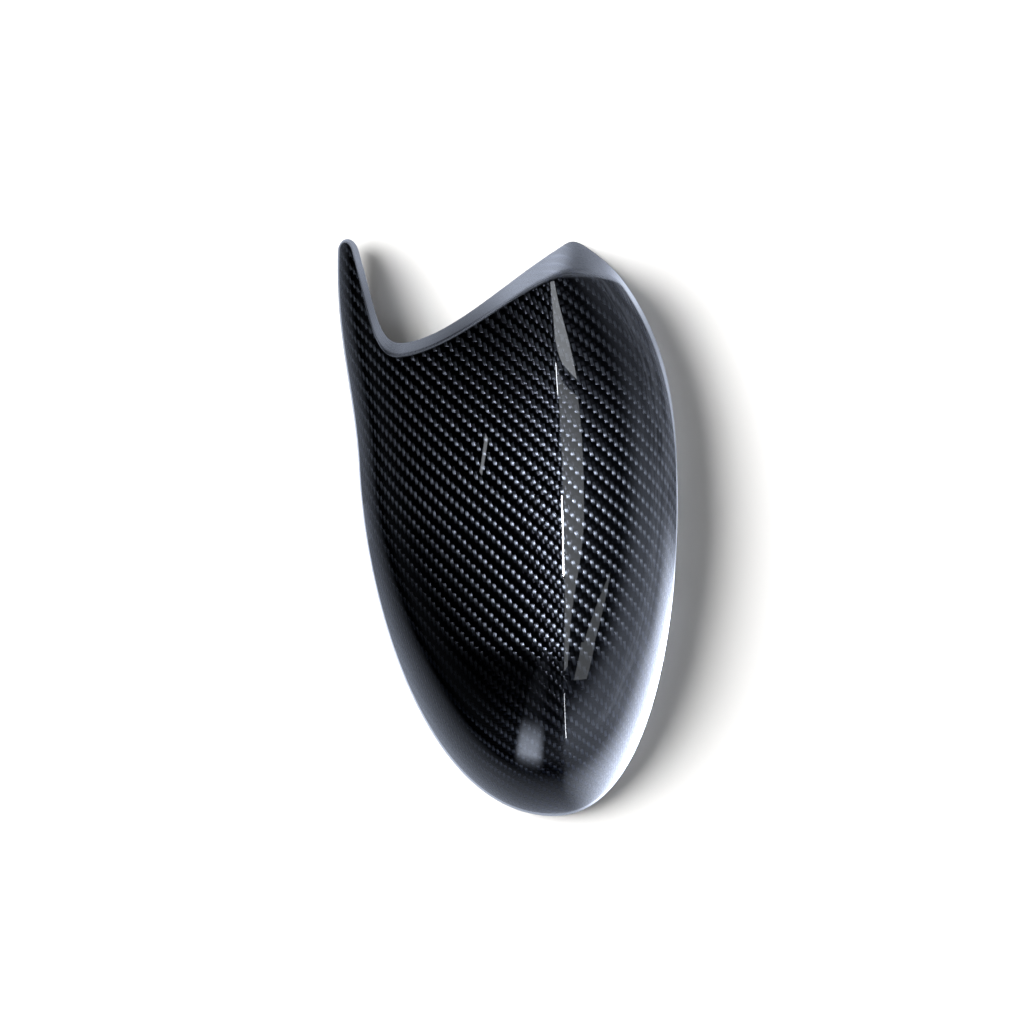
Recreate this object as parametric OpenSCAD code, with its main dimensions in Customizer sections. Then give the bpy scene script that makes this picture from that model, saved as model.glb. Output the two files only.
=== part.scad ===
// Wing mirror cover in moulded carbon fibre, with the clip brackets that are bonded inside it.
// X runs across the cover, Y along it from the nose to the horn, Z up from the plane of the rim.
// The origin is at the middle of the cover's outline, on the rim plane. All sizes are in millimetres.

/* [Outline] */
// Length over the nose and the horn tip
cover_len = 246; // [230:1:262]
// Width over the horn side and the round side
cover_w = 145; // [134:1:156]
// Place of the peak across the cover, from its middle
peak_x = 28; // [24:0.5:32]
// Depth of the notch below the ends of the horn and the peak
notch_depth = 44; // [38:0.5:50]
// Place of the notch's bottom across the cover, from its middle
notch_x = -43.5; // [-46:0.5:-40]
// Width of the horn at its tip
horn_tip_w = 9; // [7.5:0.1:11]
// How far the horn side leans out from the waist to the horn
horn_lean = 8.5; // [6:0.5:11]

/* [Height] */
// Height of the crest above the rim
crest_h = 84; // [76:0.5:92]
// Drop of the crest from its top to the peak
crest_fall = 25; // [18:0.5:30]
// Height of the upright side walls
skirt_h = 31; // [26:0.5:36]
// Height of the side wall at the nose
nose_skirt_h = 4; // [3:0.5:8]
// Drop of the side wall's top towards the horn tip
horn_fall = 9; // [5:0.5:13]
// Length over which the nose rounds down
nose_len = 76; // [66:1:86]
// Rise of the rim where it arches over the notch
rim_arch_h = 21; // [16:0.5:26]
// Height of the rim at the horn tip
horn_rim_h = 14; // [10:0.5:18]

/* [Crest] */
// Place of the crest across the cover, from its middle
crest_x = 23.5; // [20:0.5:27]
// Bow of the crest line between its middle and the peak
crest_bow = 5.7; // [4:0.1:8]
// Radius of the crease along the crest
crease_r = 1.5; // [0.5:0.1:3]
// Share of the round side's fall that starts straight from the crease
crease_share = 0.62; // [0.45:0.01:0.75]

/* [Moulding] */
// Thickness of the moulding
wall = 1.8; // [1.2:0.1:2.6]
// How far the side walls lean in from the rim to the face
side_lean = 1.5; // [1.2:0.1:2.4]
// How far the turned-down lip leans in at the peak
peak_lip_w = 16; // [14:0.5:18]
// How far the turned-down lip leans in at the notch
notch_lip_w = 6.5; // [5:0.5:8]
// Softness of the turn from the face to the side walls
side_turn = 6; // [3:0.5:9]
// Softness of the turn from the face to the lip
lip_turn = 9; // [6:0.5:14]

/* [Clips] */
// Width of a clip's bonding pad
pad_w = 26; // [20:1:32]
// Depth of a clip's bonding pad
pad_d = 18; // [14:1:22]
// Thickness of a clip's bonding pad
pad_t = 2.4; // [1.8:0.1:3.2]
// Thickness of the adhesive between a pad and the moulding
bond_t = 0.8; // [0.7:0.05:1]
// Width of a clip's tongue
tongue_w = 14; // [10:0.5:18]
// Thickness of a clip's tongue
tongue_t = 2.4; // [1.8:0.1:3]
// How far a tongue reaches below its pad
tongue_reach = 30; // [22:1:38]
// How far the barb stands out from the tongue
barb_out = 2.6; // [1.8:0.1:3.6]
// Length of the barb along the tongue
barb_h = 8; // [6:0.5:11]
// Thickness of the ribs that brace a tongue
rib_t = 1.8; // [1.2:0.1:2.6]
// How far the ribs stand out of the pad
rib_h = 3; // [2:0.5:6]
// Distance of the round side's clips from that side
round_clip_in = 24.5; // [22:0.5:30]
// Distance of the horn side's clips from that side
horn_clip_in = 35.5; // [33:0.5:40]
// Distance of the lower side clips from the nose
low_clip_in = 85; // [78:1:92]
// Distance of the upper side clips from the tips of the horn and the peak
high_clip_in = 77; // [72:1:86]
// Distance of the peak's clip from the tip of the peak
peak_clip_in = 57; // [54:1:62]
// Distance of the nose's clip from the nose
nose_clip_in = 37; // [34:1:42]
// How far the side clips are swung round to follow the outline
clip_swing = 9; // [4:1:14]

/* [Hidden] */

carbon = [0.07, 0.07, 0.08];
clip_black = [0.16, 0.16, 0.17];

half_len = cover_len / 2;
half_w = cover_w / 2;
nose_y = -half_len;

// Landmarks of the rim's outline: x, y, heading, reach of the curve before and after as shares of
// the gap to the next landmark, height of the rim
RIM = [
    [crest_x - 4, nose_y, 0, 0.31, 0.30, 0],
    [half_w, 10, 90, 0.32, 0.38, 0],
    [half_w - 21, half_len - 20, 124, 0.355, 0.42, 0],
    [peak_x + 9, half_len - 5, 143, 0.30, 0.575, 0],
    [peak_x - 0.5, half_len, 181, 0.20, 0.245, 0],
    [peak_x - 8, half_len - 4, 213, 0.51, 0.385, 1.5],
    [notch_x, half_len - notch_depth, 190, 0.265, 0.27, rim_arch_h],
    [horn_tip_w - half_w, half_len - 5, 106, 0.64, 0.93, horn_rim_h + 2],
    [-half_w, half_len - 5, 268, 0.68, 0.40, horn_rim_h],
    [horn_lean - half_w, 26, 273, 0.35, 0.365, 0]
];
MARKS = len(RIM);

// The fold, where the walls turn into the face, as seen from above: beside the rim along the sides
// and round the horn, and set well in from it along the turned-down lip
function beside(m, w) = [m[0] - w * sin(m[2]), m[1] + w * cos(m[2]), m[2], m[3], m[4], 0];
lip_y = half_len - peak_lip_w;
FOLD = [
    beside(RIM[0], side_lean),
    beside(RIM[1], side_lean),
    beside(RIM[2], side_lean * 2),
    [peak_x + 11, lip_y - 0.7, 168, 0.35, 0.33, 0],
    [peak_x, lip_y, 182, 0.33, 0.33, 0],
    [peak_x - 9.5, lip_y - 1.7, 203, 0.33, 0.30, 0],
    [notch_x - 1, half_len - notch_depth - notch_lip_w, 187, 0.30, 0.25, 0],
    beside(RIM[7], side_lean * 1.5),
    beside(RIM[8], side_lean * 0.6),
    beside(RIM[9], side_lean)
];

function ease(t) = t * t * (3 - 2 * t);
function clamp(t) = min(max(t, 0), 1);
function aim(a) = [cos(a), sin(a)];
function spot(m) = [m[0], m[1]];
function bezier(a, b, c, d, t) =
    pow(1 - t, 3) * a + 3 * pow(1 - t, 2) * t * b + 3 * (1 - t) * t * t * c + pow(t, 3) * d;

// One point of the curve through a set of landmarks, with the height there
function curve_at(marks, u) =
    let(i = floor(u) % MARKS, t = u - floor(u), a = marks[i], b = marks[(i + 1) % MARKS],
        gap = norm(spot(b) - spot(a)),
        p = bezier(spot(a), spot(a) + a[4] * gap * aim(a[2]), spot(b) - b[3] * gap * aim(b[2]),
                   spot(b), t))
    [p.x, p.y, a[5] + (b[5] - a[5]) * ease(t)];

// Where the two long sides lie, as x for each y
edge_steps = 40;
round_edge = [for (i = [0:3 * edge_steps]) let(p = curve_at(RIM, i / edge_steps)) [p.y, p.x]];
horn_edge = [for (i = [0:2 * edge_steps]) let(p = curve_at(RIM, MARKS - i / edge_steps)) [p.y, p.x]];

// The crest: its line across the cover, its height and the height at which the side walls turn in
crest_top_y = -50;
crest_run = 150;
skirt_rise_share = 0.53;
fall_pow = 1.7;
nose_pow = 1.7;
nose_root = 1.6;
function crest_at(y) = crest_x - crest_bow * pow((y - crest_top_y) / crest_run, 2);
function skirt_at(y) =
    nose_skirt_h
    + (skirt_h - nose_skirt_h) * ease(clamp((y - nose_y) / (cover_len * skirt_rise_share)))
    - horn_fall * ease(clamp(y / half_len));
function crest_z(y) =
    let(s = clamp((y - nose_y) / nose_len), low = skirt_at(y),
        high = crest_h - crest_fall * pow(max(y, 0) / half_len, fall_pow))
    low + (high - low) * pow(1 - pow(1 - s, nose_pow), 1 / nose_root);

// Height of the face without its walls: flat beside the crest on the horn side, falling away
// from a crease on the round side
horn_side_pow = 2.5;
round_side_pow = 2.4;
face_root = 1.9;
function face_z(x, y) =
    let(s = x - crest_at(y),
        out_w = max(lookup(y, round_edge) - crest_at(y), 1),
        horn_w = max(crest_at(y) - lookup(y, horn_edge), 1),
        crease = (s + sqrt(s * s + crease_r * crease_r)) / 2 / out_w,
        rest = 1 - crease_share * crease - (1 - crease_share) * pow(clamp(s / out_w), round_side_pow)
               - pow(clamp(-s / horn_w), horn_side_pow))
    skirt_at(y) + (crest_z(y) - skirt_at(y)) * pow(clamp(rest), 1 / face_root);

// The lower of two heights, with the corner between them rounded off
function soft_min(a, b, k) = k <= 0 ? min(a, b) : min(a, b) - pow(max(k - abs(a - b), 0) / k, 2) * k / 4;

// Height of the moulding's underside, one wall below the face
slope_step = 0.5;
steepest = 4;
function face_slope(x, y) =
    min(steepest, norm([face_z(x + slope_step, y) - face_z(x - slope_step, y),
                        face_z(x, y + slope_step) - face_z(x, y - slope_step)]) / (2 * slope_step));
function under_z(x, y) = face_z(x, y) - wall * sqrt(1 + pow(face_slope(x, y), 2));

// The spine on which the rungs from the two sides meet: up the crest from the nose to the peak,
// with a branch from the fork out along the horn
nose_run = 22;
peak_run = 14;
horn_run = 20;
notch_run = 6;
nose_fan = 8;
peak_fan = 12;
tip_fan = 8;
fork_y = 22;
spine_low_y = nose_y + 7;
spine_top_y = half_len - 32;
fork = [crest_at(fork_y), fork_y];
tip = [horn_tip_w / 2 - half_w, half_len - 5.5];
fork_pull = [-61, 14];
tip_pull = [1.5, -41];
function branch(t) = bezier(fork, fork + fork_pull, tip + tip_pull, tip, t);
function crest_point(y) = [crest_at(y), y];
spine = concat(
    [for (i = [0:nose_run]) crest_point(spine_low_y + (fork_y - spine_low_y) * i / nose_run)],
    [for (i = [1:peak_run]) crest_point(fork_y + (spine_top_y - fork_y) * i / peak_run)],
    [for (i = [1:horn_run]) branch(i / horn_run)]);
peak_end = nose_run + peak_run;
horn_end = peak_end + horn_run;
function branch_index(i) = i == 0 ? nose_run : peak_end + i;

// Columns of the moulding: place on the outline, and the spine point that each one runs to
nose_in = 9.85;
nose_out = 0.13;
lip_turn_u = 5.6;
function spread(from, to, n, i) = from + (to - from) * i / n;
columns = concat(
    [for (i = [0:nose_fan - 1]) [spread(nose_in, MARKS + nose_out, nose_fan, i) % MARKS, 0]],
    [for (i = [0:nose_run - 1]) [spread(nose_out, 1, nose_run, i), i]],
    [for (i = [0:peak_run - 1]) [spread(1, 2, peak_run, i), nose_run + i]],
    [for (i = [0:peak_fan - 1]) [spread(2, 5, peak_fan, i), peak_end]],
    [for (i = [0:peak_run - 1]) [spread(5, lip_turn_u, peak_run, i), peak_end - i]],
    [for (i = [0:horn_run - 1])
        [i < notch_run ? spread(lip_turn_u, 6, notch_run, i)
                       : spread(6, 7, horn_run - notch_run, i - notch_run), branch_index(i)]],
    [for (i = [0:tip_fan - 1]) [spread(7, 8, tip_fan, i), horn_end]],
    [for (i = [0:horn_run - 1]) [spread(8, 9, horn_run, i), branch_index(horn_run - i)]],
    [for (i = [0:nose_run - 1]) [spread(9, nose_in, nose_run, i), nose_run - i]]);
COLS = len(columns);

// Rows up each column: up the wall, round its turn into the face, and on to the spine
wall_rows = 3;
turn_rows = 5;
face_rows = 8;
ROWS = wall_rows + turn_rows + face_rows;
face_crowding = 1.7;
function row_reach(k, foot, start, end, run) =
    k <= wall_rows ? foot + (start - foot) * k / wall_rows
    : k <= wall_rows + turn_rows ? start + (end - start) * (k - wall_rows) / turn_rows
    : end + (run - end) * pow((k - wall_rows - turn_rows) / face_rows, face_crowding);

// A column runs from the rim to the fold, and from there to its spine point; the wall's height
// grows evenly up to the fold, and the face takes over where it is the lower of the two
function surface_z(p, inside) = inside ? under_z(p.x, p.y) : face_z(p.x, p.y);
function along(foot, fold, top, d) =
    let(w = norm(fold - foot))
    d < w ? foot + (fold - foot) * d / w : fold + (top - fold) * (d - w) / norm(top - fold);
function turn_reach(foot, fold, top, foot_z, lean, inset, inside, low, high, halvings = 14) =
    let(d = (low + high) / 2, above = foot_z + (d - inset) / lean
        > surface_z(along(foot, fold, top, d), inside))
    halvings == 0 ? d
    : turn_reach(foot, fold, top, foot_z, lean, inset, inside, above ? low : d, above ? d : high,
                 halvings - 1);

// The points of one column of the outer or the inner surface, from the rim up
least_turn = 0.25;
turn_share = 0.8;
lip_turn_range = 6;
function column_points(j, inside) =
    let(r = curve_at(RIM, columns[j][0]), f = curve_at(FOLD, columns[j][0]), foot = [r.x, r.y],
        fold = [f.x, f.y], top = spine[columns[j][1]], wall_w = norm(fold - foot),
        run = wall_w + norm(top - fold), lean = wall_w / (face_z(f.x, f.y) - r.z),
        inset = inside ? wall * sqrt(1 + lean * lean) : 0,
        turn = turn_reach(foot, fold, top, r.z, lean, inset, inside, inset, run),
        softness = side_turn + (lip_turn - side_turn) * clamp((wall_w - side_lean) / lip_turn_range),
        half_turn = min(max(softness * lean, least_turn), (turn - inset) * turn_share,
                        (run - turn) * turn_share))
    [for (k = [0:ROWS - 1])
        let(d = row_reach(k, inset, turn - half_turn, turn + half_turn, run),
            p = along(foot, fold, top, d), fade = 1 - pow(max(d - turn, 0) / (run - turn), 2),
            soft_z = soft_min(r.z + (d - inset) / lean, surface_z(p, inside), softness * fade))
        [p.x, p.y, k == 0 ? r.z : max(r.z, soft_z)]];
function surface_points(inside) = concat(
    [for (j = [0:COLS - 1]) each column_points(j, inside)],
    [for (p = spine) [p.x, p.y, surface_z(p, inside)]]);

// Triangles of one surface; the last row of each column is its spine point
SURFACE = ROWS * COLS + len(spine);
function vertex(k, j) = k < ROWS ? (j % COLS) * ROWS + k : ROWS * COLS + columns[j % COLS][1];
function quad(a, b, c, d) = c == d ? [[a, b, c]] : [[a, b, c], [a, c, d]];
function surface_faces() = [
    for (k = [0:ROWS - 1]) for (j = [0:COLS - 1])
        each quad(vertex(k, j), vertex(k, j + 1), vertex(k + 1, j + 1), vertex(k + 1, j))];
function turned(f) = [f[2], f[1], f[0]];
function shifted(f, n) = [f[0] + n, f[1] + n, f[2] + n];

module cover_shell() {
    outer = surface_faces();
    rim = [for (j = [0:COLS - 1]) let(a = vertex(0, j), b = vertex(0, j + 1))
        each [[a, SURFACE + a, SURFACE + b], [a, SURFACE + b, b]]];
    color(carbon)
        polyhedron(points = concat(surface_points(false), surface_points(true)),
                   faces = concat([for (f = outer) turned(f)],
                                  [for (f = outer) shifted(f, SURFACE)],
                                  [for (f = rim) turned(f)]));
}

// A block that hangs from the moulding's underside: its top lies at a depth below that surface,
// and its foot lies either at another depth below it or at one level
module hung_block(at, turn, size, middle, cuts, lid, foot, level = undef) {
    nx = cuts[0];
    ny = cuts[1];
    grid = [for (i = [0:nx]) for (j = [0:ny])
        let(u = middle[0] + size[0] * (i / nx - 0.5), v = middle[1] + size[1] * (j / ny - 0.5))
        [at.x + u * cos(turn) - v * sin(turn), at.y + u * sin(turn) + v * cos(turn)]];
    count = len(grid);
    tops = [for (p = grid) [p.x, p.y, under_z(p.x, p.y) - lid]];
    feet = [for (p = grid) [p.x, p.y, is_undef(level) ? under_z(p.x, p.y) - foot : level]];
    function at_grid(i, j) = i * (ny + 1) + j;
    lid_faces = [for (i = [0:nx - 1]) for (j = [0:ny - 1])
        each quad(at_grid(i, j), at_grid(i, j + 1), at_grid(i + 1, j + 1), at_grid(i + 1, j))];
    border = concat([for (i = [0:nx - 1]) at_grid(i, 0)], [for (j = [0:ny - 1]) at_grid(nx, j)],
                    [for (i = [nx:-1:1]) at_grid(i, ny)], [for (j = [ny:-1:1]) at_grid(0, j)]);
    sides = [for (i = [0:len(border) - 1])
        let(a = border[i], b = border[(i + 1) % len(border)])
            each [[a, b, b + count], [a, b + count, a + count]]];
    polyhedron(points = concat(tops, feet),
               faces = concat(lid_faces, [for (f = lid_faces) turned(shifted(f, count))], sides));
}

// One clip bracket: a bonded pad, a barbed tongue and two ribs; turn points the barb
pad_cuts = [3, 4];
rib_share = 0.8;
module clip(at, turn) {
    tip_z = under_z(at.x, at.y) - bond_t - pad_t - tongue_reach;
    barb_z = tip_z + barb_h;
    color(clip_black) {
        hung_block(at, turn, [pad_d, pad_w], [0, 0], pad_cuts, bond_t, bond_t + pad_t);
        hung_block(at, turn, [tongue_t, tongue_w], [0, 0], [1, 2], bond_t + pad_t / 2, 0, tip_z);
        translate([at.x, at.y, 0])
            rotate(turn)
                translate([0, tongue_w / 2, 0])
                    rotate([90, 0, 0])
                        linear_extrude(tongue_w)
                            polygon([[0, tip_z], [tongue_t / 2, tip_z],
                                     [tongue_t / 2 + barb_out, barb_z], [0, barb_z]]);
        for (side = [-1, 1])
            hung_block(at, turn, [pad_d * rib_share, rib_t], [0, side * (tongue_w / 2 - rib_t)],
                       [2, 1], bond_t + pad_t / 2, bond_t + pad_t + rib_h);
    }
}

horn_clip_x = horn_clip_in - half_w;
round_clip_x = half_w - round_clip_in;
high_clip_y = half_len - high_clip_in;
low_clip_y = nose_y + low_clip_in;
peak_clip_x = peak_x - 26;
nose_clip_x = crest_x - 11.5;
module clip_horn_side_upper() { clip([horn_clip_x, high_clip_y], 180); }
module clip_horn_side_lower() { clip([horn_clip_x, low_clip_y], 180 + clip_swing); }
module clip_round_side_upper() { clip([round_clip_x, high_clip_y], clip_swing); }
module clip_round_side_lower() { clip([round_clip_x, low_clip_y], -clip_swing); }
module clip_peak() { clip([peak_clip_x, half_len - peak_clip_in], 90); }
module clip_nose() { clip([nose_clip_x, nose_y + nose_clip_in], 270); }

cover_shell();
clip_horn_side_upper();
clip_horn_side_lower();
clip_round_side_upper();
clip_round_side_lower();
clip_peak();
clip_nose();
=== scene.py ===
"""Looks of a moulded carbon-fibre wing mirror cover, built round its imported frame."""

import math

import bpy
import numpy as np
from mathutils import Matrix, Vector


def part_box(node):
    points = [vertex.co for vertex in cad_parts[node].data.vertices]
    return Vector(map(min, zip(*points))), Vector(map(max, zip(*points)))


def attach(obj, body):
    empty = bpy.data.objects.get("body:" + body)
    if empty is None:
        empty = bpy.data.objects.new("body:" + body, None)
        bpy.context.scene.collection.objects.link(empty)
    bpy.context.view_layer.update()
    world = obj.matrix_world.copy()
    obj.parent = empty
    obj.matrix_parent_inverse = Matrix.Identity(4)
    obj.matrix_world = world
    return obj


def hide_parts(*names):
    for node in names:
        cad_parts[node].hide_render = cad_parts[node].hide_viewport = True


bl_info = {
    "name": "Carbon Mirror Cover",
    "version": (1, 0, 0),
    "blender": (4, 5, 0),
    "location": "3D View > Sidebar > Mirror Cover",
    "description": "Builds the lacquered twill moulding, its bonded clips and the stage",
    "category": "Object",
}

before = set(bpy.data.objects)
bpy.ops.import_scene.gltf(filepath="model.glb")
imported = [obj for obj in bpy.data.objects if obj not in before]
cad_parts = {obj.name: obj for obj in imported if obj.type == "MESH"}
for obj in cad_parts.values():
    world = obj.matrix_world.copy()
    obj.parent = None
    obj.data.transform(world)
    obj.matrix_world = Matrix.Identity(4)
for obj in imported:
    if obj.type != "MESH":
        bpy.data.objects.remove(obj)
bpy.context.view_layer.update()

MM = 0.001
BODY = "root"
SHELL = "cover_shell"
# Each clip bracket and the way its barb points, in degrees
CLIPS = {
    "clip_horn_side_upper": 180,
    "clip_horn_side_lower": 189,
    "clip_round_side_upper": 9,
    "clip_round_side_lower": -9,
    "clip_peak": 90,
    "clip_nose": 270,
}


def length(name, description, millimetres):
    """A size property, given in millimetres and kept in metres"""
    return bpy.props.FloatProperty(
        name=name, description=description, default=millimetres * MM, min=0.0, unit="LENGTH", precision=4)


def colour(name, description, value):
    return bpy.props.FloatVectorProperty(
        name=name, description=description, default=value, min=0.0, max=1.0, size=3, subtype="COLOR")


def amount(name, description, value, most=1.0):
    return bpy.props.FloatProperty(
        name=name, description=description, default=value, min=0.0, max=most, subtype="FACTOR")


class CoverShape(bpy.types.PropertyGroup):
    """Sizes of the moulding that its box doesn't give; places across it are from its middle"""
    peak_x: length("Peak", "Place of the peak towards the round side", 28)
    notch_depth: length("Notch depth", "Depth of the notch below the horn and the peak", 44)
    notch_x: length("Notch", "Place of the notch towards the horn side", 43.5)
    horn_tip_w: length("Horn tip", "Width of the horn at its tip", 9)
    horn_lean: length("Horn lean", "How far the horn side leans out from the waist", 8.5)
    crest_h: length("Crest height", "Height of the crest above the rim", 84)
    crest_fall: length("Crest fall", "Drop of the crest from its top to the peak", 25)
    skirt_h: length("Side walls", "Height of the upright side walls", 31)
    nose_skirt_h: length("Nose wall", "Height of the side wall at the nose", 4)
    horn_fall: length("Horn fall", "Drop of the side wall's top towards the horn tip", 9)
    nose_len: length("Nose", "Length over which the nose rounds down", 76)
    rim_arch_h: length("Rim arch", "Rise of the rim over the notch", 21)
    horn_rim_h: length("Horn rim", "Height of the rim at the horn tip", 14)
    crest_x: length("Crest", "Place of the crest towards the round side", 23.5)
    crest_bow: length("Crest bow", "Bow of the crest line towards the peak", 5.7)
    crease_r: length("Crease", "Radius of the crease along the crest", 1.5)
    wall: length("Wall", "Thickness of the moulding", 1.8)
    side_lean: length("Side lean", "How far the side walls lean in", 1.5)
    peak_lip_w: length("Peak lip", "How far the turned-down lip leans in at the peak", 16)
    notch_lip_w: length("Notch lip", "How far the turned-down lip leans in at the notch", 6.5)
    side_turn: length("Side turn", "Softness of the turn from the face to the side walls", 6)
    lip_turn: length("Lip turn", "Softness of the turn from the face to the lip", 9)
    edge_r: length("Edge", "Rounding of the trimmed edge", 0.45)


class CarbonFinish(bpy.types.PropertyGroup):
    """The twill, the lacquer over it, the bare inside and the trimmed edge"""
    tow_w: length("Tow", "Width of one tow of the twill", 2.12)
    skew: amount("Skew", "Lean of the warp from the crest", 0.2)
    fibre: colour("Fibre", "Sheen of the fibres", (0.036, 0.039, 0.046))
    # Painted shade: the weft tows' sheen is kept at this share of the warp's, so that they look less lit than
    # the warp tows
    weft_painted_shade: amount("Weft sheen", "Sheen of the tows across the cover beside that of the others", 0.15)
    resin: colour("Resin", "Resin between the tows", (0.004, 0.004, 0.005))
    bare_fibre: colour("Bare fibre", "Fibres of the unlacquered inside", (0.13, 0.135, 0.15))
    bare_resin: colour("Bare resin", "Resin between the tows inside", (0.012, 0.012, 0.013))
    skin: colour("Skin", "Resin pooled over the tows inside", (0.02, 0.02, 0.022))
    cut_dark: colour("Cut edge", "Sanded laminate of the trimmed edge", (0.018, 0.018, 0.019))
    cut_light: colour("Cut edge grain", "Palest fibres in the trimmed edge", (0.06, 0.06, 0.065))
    crown: amount("Crown", "Change of slope from one edge of a tow to the other", 0.62, 3.0)
    crimp: amount("Crimp", "Slope along a tow where it dives under the next", 0.2, 3.0)
    streak: amount("Streaks", "Unevenness of the fibres across a tow", 0.12)
    fibre_roughness: amount("Fibre roughness", "Spread of the fibres' sheen", 0.31)
    fibre_grain: amount("Fibre grain", "How much wider the sheen spreads across the fibres", 1.0)
    coat_roughness: amount("Lacquer roughness", "Spread of the lacquer's gloss", 0.015)


class BracketFinish(bpy.types.PropertyGroup):
    """The clip brackets and what bonds them"""
    plastic: colour("Plastic", "Black moulded plastic of the clips", (0.018, 0.018, 0.019))
    adhesive: colour("Adhesive", "Grey-black bonding paste", (0.03, 0.031, 0.034))
    pad_w: length("Pad width", "Width of a clip's bonding pad", 26)
    pad_d: length("Pad depth", "Depth of a clip's bonding pad", 18)
    bond_t: length("Bond", "Thickness of the adhesive under a pad", 0.8)
    bead_r: length("Bead", "Radius of the adhesive squeezed out round a pad", 1.1)


class StageLook(bpy.types.PropertyGroup):
    """Floor, surroundings, lights and camera"""
    floor: colour("Floor", "Colour of the floor", (0.867, 0.86, 0.85))
    surround: colour("Surround", "Tint of the surroundings that the gloss shows", (0.74, 0.82, 1.0))
    camera_height: length("Camera height", "Height of the camera above the floor", 2230)
    frame_width: length("Frame width", "Width of the floor that the picture takes in", 438.5)
    ambient: amount("Ambient", "Even light on the floor where the lamp is shadowed", 0.25)


# The face's form: shares, powers and the steepest slope, and places in millimetres
CREASE_SHARE = 0.62
SKIRT_RISE_SHARE = 0.53
FALL_POW = 1.7
NOSE_POW = 1.7
NOSE_ROOT = 1.6
HORN_SIDE_POW = 2.5
ROUND_SIDE_POW = 2.4
FACE_ROOT = 1.9
CREST_TOP_Y = -50
CREST_RUN = 150
STEEPEST = 4
LIP_TURN_RANGE = 6
LEAST_TURN = 0.25
TURN_SHARE = 0.8

# The line on which the columns of the mesh meet: where it forks, ends and bends
FORK_Y = 22
SPINE_NOSE_GAP = 7
SPINE_PEAK_GAP = 32
FORK_PULL = (-61, 14)
TIP_PULL = (1.5, -41)
TIP_GAP = 5.5

# The mesh: columns along the crest up to the fork, on to the peak and out along the horn,
# columns that fan round the nose, the peak and the tip, and rows of each skin
FINENESS = 4
CREST_COLUMNS, PEAK_COLUMNS, HORN_COLUMNS = 22 * FINENESS, 14 * FINENESS, 20 * FINENESS
NOSE_FAN, PEAK_FAN, TIP_FAN = 8 * FINENESS, 12 * FINENESS, 8 * FINENESS
NOTCH_SHARE = 0.3
# Places on the outline between which the nose's fan lies, and where the lip turns to the horn
NOSE_IN, NOSE_OUT, LIP_TURN_U = 9.85, 0.13, 5.6
WALL_ROWS, TURN_ROWS, FACE_ROWS = 6, 12, 44
INNER_ROWS = (3, 7, 20)
SPINE_CROWDING = 0.68
FOLD_POW, SPINE_POW = 1.5, 2.2
SOLVE_STEPS = 28
EDGE_SAMPLES = 600
# Rows across the trimmed edge: share of the way in, and lift as a share of its rounding
EDGE_PROFILE = ((0.07, 0.45), (0.25, 0.0), (0.75, 0.0), (0.93, 0.45))
# The shell's finishes in the order of its materials
LACQUERED, TRIMMED, BARE = range(3)

# Stretches of the outline, and the place in each whose outward way its cloth drops along
HELD_DROPS = ((2.0, 3.95, 2.0), (3.95, 5.7, 4.8), (5.7, 6.3, 6.0), (6.3, 7.4, 6.7), (7.4, 9.0, 8.3))
# How much closer than flat cloth the tows lie, across the horn side and along the cover
HORN_SIDE_SQUEEZE = 1.17
LENGTH_SQUEEZE = 1.05
# The map of lengths over the cloth: its step, the steepest slope it counts, and its margins
CLOTH_STEP = 0.5
CLOTH_STEEPEST = 2.5
SIDE_MARGIN = 4
END_MARGIN = 2
# Rows of the trimmed edge that the outer cloth runs on to
LAPPED_ROWS = 3

# The twill, in tow widths: its repeat, the length of a float, and where a tow falls away
REPEAT = 4.0
FLOAT = 2.0
TOW_SIDE = (0.26, 0.45)
TOW_END = (0.5, 0.95)
END_DEPTH = 0.8
# Streaks of the fibres to a tow's width, along a tow and across it
STREAKS = (0.7, 14.0)
STREAK_SHADE = 0.9
LOT_SHADE = (0.3, 0.85)
QUARTER_TURN = 0.25
LACQUER_IOR = 1.5
FIBRE_RIM = (0.3, 0.32, 0.38)
BARE_RELIEF = 0.6

# The adhesive bead: waves round it with their shares and their shifts from bead to bead
WANDER = ((3, 0.35, 1.0), (7, 0.2, 2.3), (13, 0.1, 1.7))
BEAD_UNEVENNESS = 0.45
BEAD_CORNER_POW = 0.28
BEAD_SINK = 0.15
BEAD_FLATNESS = 0.75

# The stage in metres; gloss lamps stand round the cover's middle
CAMERA_PLACE = (0.0016, 0.0072)
COVER_MIDDLE = (0.02, 0.0, 0.07)
LAMP_DISTANCE = 1.3
LAMP_TINT = (0.88, 0.93, 1.0)
KEY_SIZE = 1.05
KEY_WATTS = 52
FLOOR_HALF = 3.0
FLOOR_MIDDLE = (0.02, -0.04, 0.0)
# Where the seen floor fades to white, and where the mirrored one meets the horizon
WHITE_RANGE = (0.22, 0.45)
HORIZON_RANGE = (0.2, 0.7)
# Soft ovals of the mirrored floor: middle, reach, brightness inside and outside
HALO = ((0.0, 0.0), (0.23, 0.3), 1.05, 0.0)
NOTCH_SHADE = ((-0.036, 0.1), (0.04, 0.03), 0.1, 1.0)
GLARE = ((0.0, 0.0), (0.18, 0.29), 12.0, 1.0)
# Painted light and shade in the mirrored floor, up and to the right: a mottled brightness that the gloss
# shows as a painted reflection of smears. Its way, its edge, its grain and its range
PAINTED_MOTTLE_WAY = (0.8, 0.6, 0.0)
PAINTED_MOTTLE_EDGE = (0.0, 0.08)
PAINTED_MOTTLE_SCALE = 22.0
PAINTED_MOTTLE_RANGE = (0.35, 0.65, 0.45, 1.0)
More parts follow.
